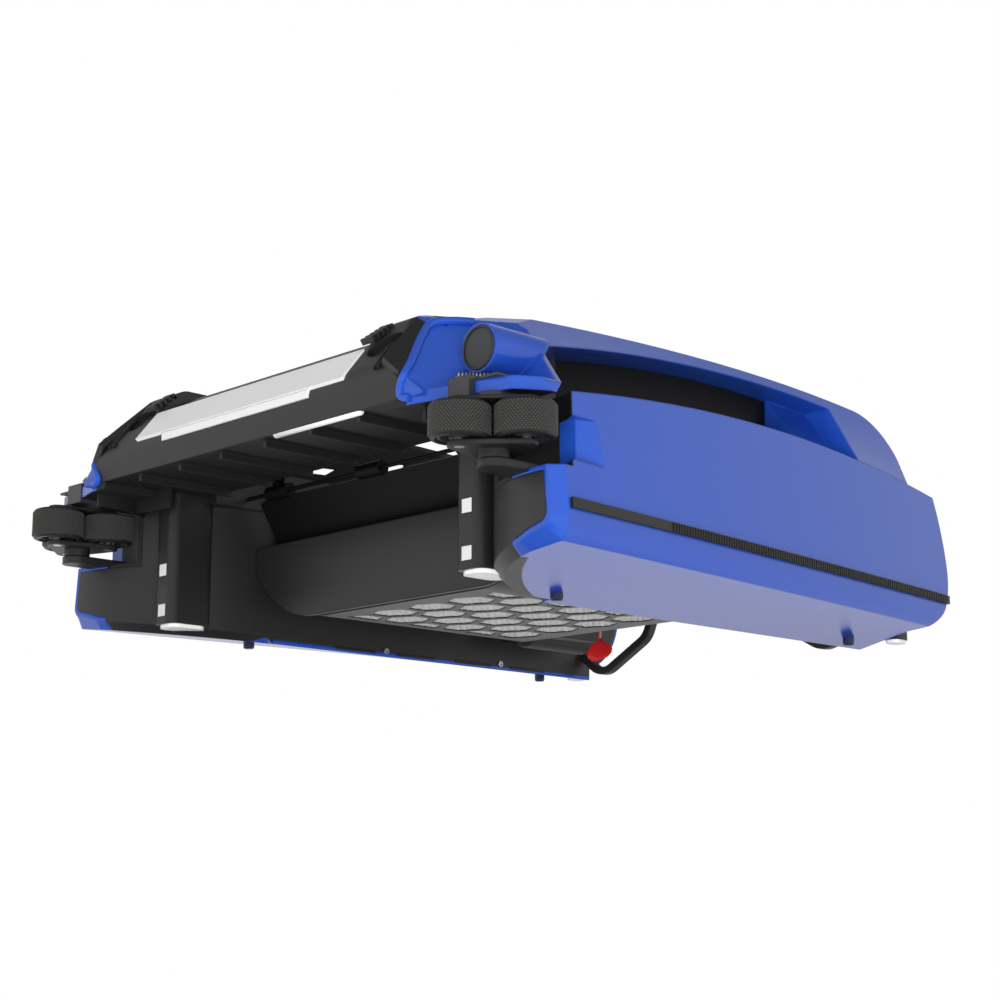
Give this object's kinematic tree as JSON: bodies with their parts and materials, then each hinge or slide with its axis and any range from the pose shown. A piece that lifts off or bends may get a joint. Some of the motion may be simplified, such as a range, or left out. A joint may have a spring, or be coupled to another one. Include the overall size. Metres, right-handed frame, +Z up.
{
  "type": "pool skimmer robot",
  "caption": "Floating robot that skims a swimming pool: blue twin pontoons, black hood, front bumper rollers, one-way inlet flap, lift-out debris basket and screw propellers.",
  "frame": {"origin": "middle of the machine's footprint, on the plane of its hull nubs", "axes": "+X across to the starboard side seen from behind the bow, bow along -Y, +Z up"},
  "size_m": [0.508, 0.522, 0.1767],
  "materials": {
    "blue_gloss": "high gloss moulded plastic",
    "black_satin": "satin moulded plastic",
    "grey_plastic": "satin moulded plastic",
    "pale_plastic": "smooth",
    "black_rubber": "knurled rubber",
    "red_gloss": "gloss moulded plastic",
    "steel": "bright drawn",
    "dark_lens": "smooth",
    "pale_mesh": "fine woven mesh",
    "solar_glass": "laminated cells",
    "battery_wrap": "shrink wrap",
    "circuit_green": "solder mask",
    "button_blue": "gloss"
  },
  "bodies": {
    "hull": {"battery_pack": "battery_wrap", "charge_socket": "black_satin", "control_board": "circuit_green", "corner_lenses": "dark_lens", "drive_motors": "steel", "fin_tiles": "pale_plastic", "flap_rod": "steel", "foot_pads": "pale_plastic", "front_hood": "black_satin", "front_panel": "pale_plastic", "hood_tray": "black_satin", "hull_nubs": "blue_gloss", "intake_ramp": "black_satin", "left_bow_fin": "black_satin", "left_inner_hull": "black_satin", "left_motor_pod": "black_satin", "left_pontoon_shell": "blue_gloss", "left_roller_bracket": "black_satin", "left_roller_clip": "grey_plastic", "left_side_fender": "blue_gloss", "propeller_guards": "black_satin", "rear_deck": "black_satin", "right_bow_fin": "black_satin", "right_inner_hull": "black_satin", "right_motor_pod": "black_satin", "right_pontoon_shell": "blue_gloss", "right_roller_bracket": "black_satin", "right_roller_clip": "grey_plastic", "right_side_fender": "blue_gloss", "rub_strips": "black_rubber", "sensor_faces": "dark_lens", "shaft_seals": "black_rubber", "solar_panel": "solar_glass", "stern_skegs": "black_satin"},
    "left_roller_set": {"left_roller_carrier": "black_satin", "left_roller_pins": "steel"},
    "left_roller_1": {"left_roller_hub_1": "grey_plastic", "left_roller_tyre_1": "black_rubber"},
    "left_roller_2": {"left_roller_hub_2": "grey_plastic", "left_roller_tyre_2": "black_rubber"},
    "left_roller_3": {"left_roller_hub_3": "grey_plastic", "left_roller_tyre_3": "black_rubber"},
    "left_screw": {"left_propeller": "red_gloss", "left_propeller_shaft": "steel"},
    "right_roller_set": {"right_roller_carrier": "black_satin", "right_roller_pins": "steel"},
    "right_roller_1": {"right_roller_hub_1": "grey_plastic", "right_roller_tyre_1": "black_rubber"},
    "right_roller_2": {"right_roller_hub_2": "grey_plastic", "right_roller_tyre_2": "black_rubber"},
    "right_roller_3": {"right_roller_hub_3": "grey_plastic", "right_roller_tyre_3": "black_rubber"},
    "right_screw": {"right_propeller": "red_gloss", "right_propeller_shaft": "steel"},
    "flap": {"inlet_flap": "black_satin"},
    "basket": {"debris_basket": "black_satin", "basket_mesh": "pale_mesh"},
    "bail": {"basket_handle": "black_satin"},
    "button": {"power_button": "button_blue"},
    "cap": {"charge_cap": "black_rubber"}
  },
  "joints": [
    {"name": "left_roller_turn", "type": "hinge", "parent": "hull", "child": "left_roller_set", "pos_m": [-0.2151, -0.22268, 0.081], "axis": [0, 0, 1], "continuous": true},
    {"name": "left_roller_1_spin", "type": "hinge", "parent": "left_roller_set", "child": "left_roller_1", "pos_m": [-0.236, -0.21824, 0.081], "axis": [0, 0, 1], "continuous": true},
    {"name": "left_roller_2_spin", "type": "hinge", "parent": "left_roller_set", "child": "left_roller_2", "pos_m": [-0.20081, -0.20681, 0.081], "axis": [0, 0, 1], "continuous": true},
    {"name": "left_roller_3_spin", "type": "hinge", "parent": "left_roller_set", "child": "left_roller_3", "pos_m": [-0.2085, -0.243, 0.081], "axis": [0, 0, 1], "continuous": true},
    {"name": "left_propeller_spin", "type": "hinge", "parent": "hull", "child": "left_screw", "pos_m": [-0.11, 0.197, 0.031], "axis": [0, 1, 0], "continuous": true},
    {"name": "right_roller_turn", "type": "hinge", "parent": "hull", "child": "right_roller_set", "pos_m": [0.2151, -0.22268, 0.081], "axis": [0, 0, 1], "continuous": true},
    {"name": "right_roller_1_spin", "type": "hinge", "parent": "right_roller_set", "child": "right_roller_1", "pos_m": [0.236, -0.21824, 0.081], "axis": [0, 0, 1], "continuous": true},
    {"name": "right_roller_2_spin", "type": "hinge", "parent": "right_roller_set", "child": "right_roller_2", "pos_m": [0.20081, -0.20681, 0.081], "axis": [0, 0, 1], "continuous": true},
    {"name": "right_roller_3_spin", "type": "hinge", "parent": "right_roller_set", "child": "right_roller_3", "pos_m": [0.2085, -0.243, 0.081], "axis": [0, 0, 1], "continuous": true},
    {"name": "right_propeller_spin", "type": "hinge", "parent": "hull", "child": "right_screw", "pos_m": [0.11, 0.197, 0.031], "axis": [0, 1, 0], "continuous": true},
    {"name": "flap_swing", "type": "hinge", "parent": "hull", "child": "flap", "pos_m": [0, -0.131, 0.105], "axis": [1, 0, 0], "range_deg": [0, 55]},
    {"name": "basket_lift", "type": "slide", "parent": "hull", "child": "basket", "axis": [0, 0, 1], "range_m": [0, 0.17]},
    {"name": "bail_fold", "type": "hinge", "parent": "basket", "child": "bail", "pos_m": [0, -0.0045, 0.11404], "axis": [1, 0, 0], "range_deg": [0, 90]},
    {"name": "button_press", "type": "slide", "parent": "hull", "child": "button", "axis": [0, 0, -1], "range_m": [0, 0.0015], "stiffness_N_per_m": 600},
    {"name": "cap_hinge", "type": "hinge", "parent": "hull", "child": "cap", "pos_m": [0.062, -0.166, 0.1605], "axis": [-1, 0, 0], "range_deg": [0, 110]}
  ]
}
